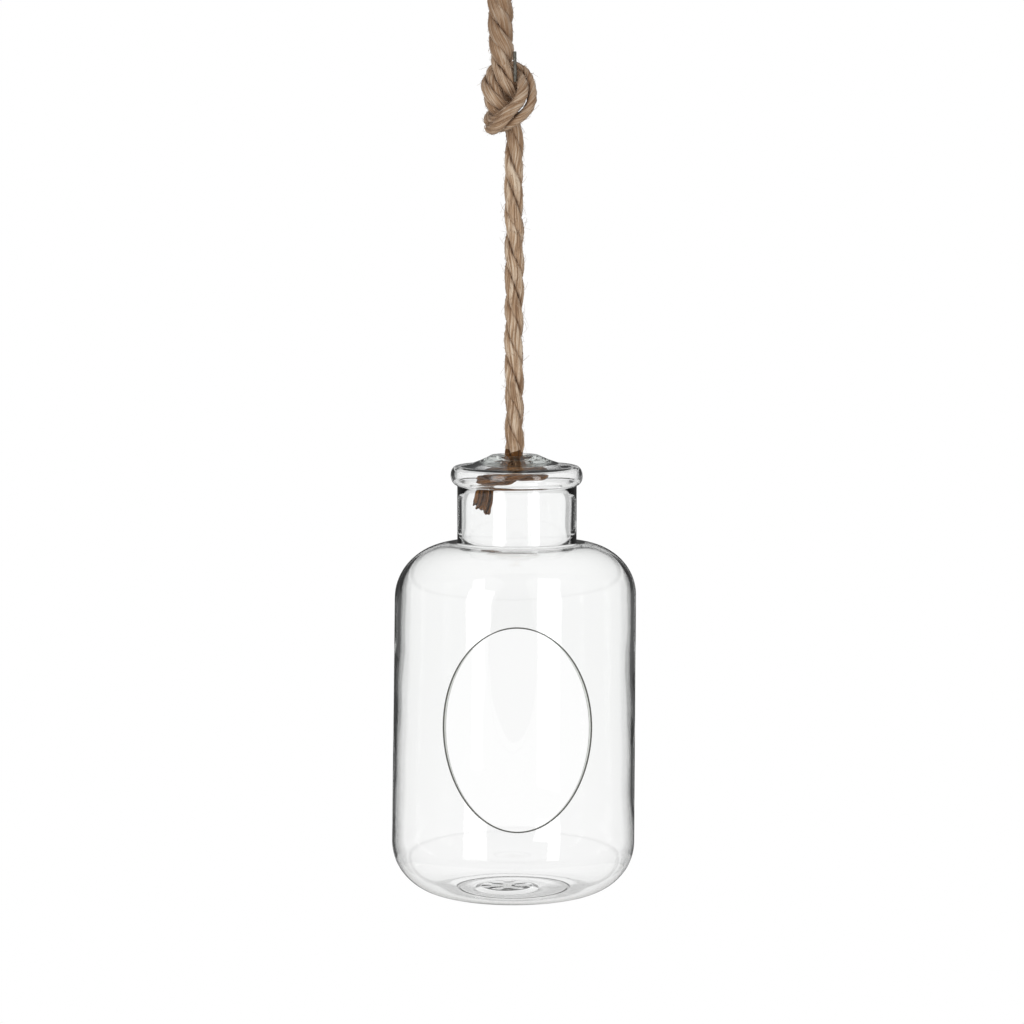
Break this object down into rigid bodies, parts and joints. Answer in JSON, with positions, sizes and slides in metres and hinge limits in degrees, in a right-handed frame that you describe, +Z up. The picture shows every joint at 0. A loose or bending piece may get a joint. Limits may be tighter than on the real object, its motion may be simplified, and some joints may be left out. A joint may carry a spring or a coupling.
{
  "type": "hanging bottle vase",
  "caption": "Hanging vase: a clear blown-glass bottle with a large oval window, carried by a jute rope that is knotted under its domed top and spliced into a hanging eye.",
  "frame": {"origin": "inside top of the rope's hanging eye, where a hook carries it, straight above the bottle's axis", "axes": "+Z up along the bottle's axis, -Y out of the oval window, +X to the right of the window"},
  "size_m": [0.1314, 0.1314, 0.5733],
  "materials": {
    "clear_glass": "clear, blown",
    "jute": "three-strand jute rope",
    "soaked_jute": "jute rope soaked dark and hardened",
    "wire": "dark annealed wire"
  },
  "bodies": {
    "hanging_eye": {"rope_eye": "jute"},
    "upper_rope": {"rope_splice": "jute", "rope_top_knot": "jute", "tie_wire": "wire"},
    "middle_rope": {"rope_upper_run": "jute"},
    "lower_rope": {"rope_lower_run": "jute", "rope_stopper_knot": "soaked_jute", "rope_tail": "soaked_jute"},
    "bottle": {"glass_bottle": "clear_glass"}
  },
  "joints": [
    {"name": "swing_sideways", "type": "hinge", "parent": "hanging_eye", "child": "upper_rope", "pos_m": [-0.0068, 0, -0.078], "axis": [0, 1, 0], "range_deg": [-30, 30]},
    {"name": "swing_front_back", "type": "hinge", "parent": "upper_rope", "child": "middle_rope", "pos_m": [0, 0, -0.1614], "axis": [1, 0, 0], "range_deg": [-30, 30]},
    {"name": "rope_twist", "type": "hinge", "parent": "middle_rope", "child": "lower_rope", "pos_m": [0, 0, -0.2429], "axis": [0, 0, 1], "range_deg": [-180, 180], "stiffness_Nm_per_rad": 0.004},
    {"name": "bottle_lift", "type": "slide", "parent": "lower_rope", "child": "bottle", "axis": [0, 0, 1], "range_m": [0, 0.145]}
  ]
}
